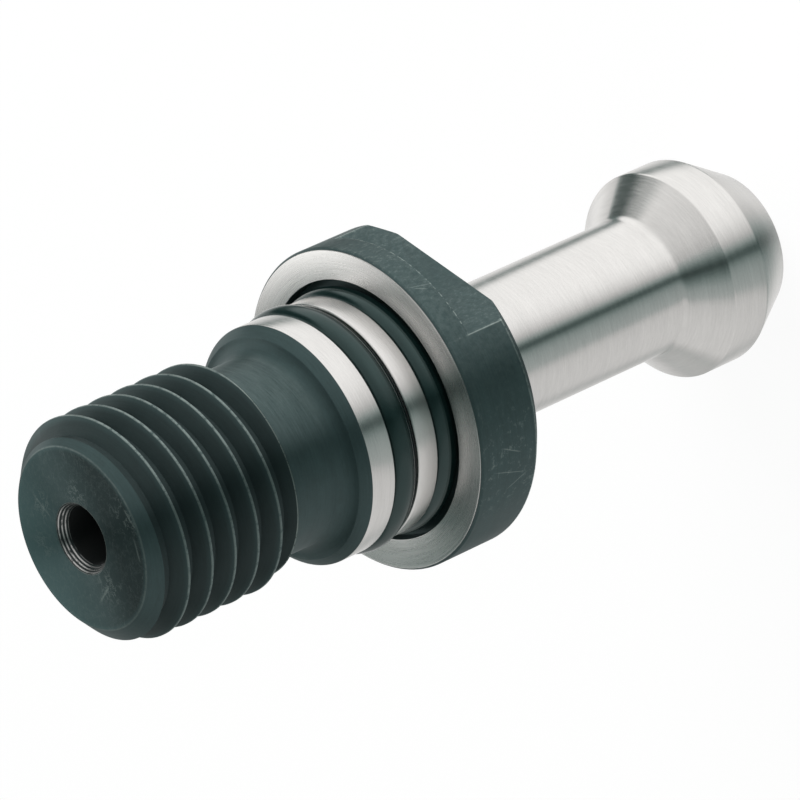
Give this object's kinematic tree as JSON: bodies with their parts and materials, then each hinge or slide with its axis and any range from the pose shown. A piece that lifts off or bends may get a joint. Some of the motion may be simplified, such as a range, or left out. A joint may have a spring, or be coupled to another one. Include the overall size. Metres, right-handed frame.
{
  "type": "pull stud",
  "caption": "Turned steel pull stud for a steep-taper tool holder, with a threaded end, a ground pilot with rubber rings, a flange with wrench flats and a gripping head.",
  "frame": {"origin": "centre of the flat end face of the gripping head, on which the stud stands", "axes": "+Z along the stud's axis, from the head to the threaded end; +X and -X out of the wrench flats"},
  "size_m": [0.023, 0.023, 0.06],
  "materials": {
    "blackened_and_ground_steel": "black oxide on the thread, neck and flange; bare ground steel on the pilot, seat face, stem and head",
    "black_rubber": "satin"
  },
  "bodies": {
    "root": {"stud_body": "blackened_and_ground_steel", "pilot_o_ring": "black_rubber", "seat_o_ring": "black_rubber"}
  },
  "joints": []
}
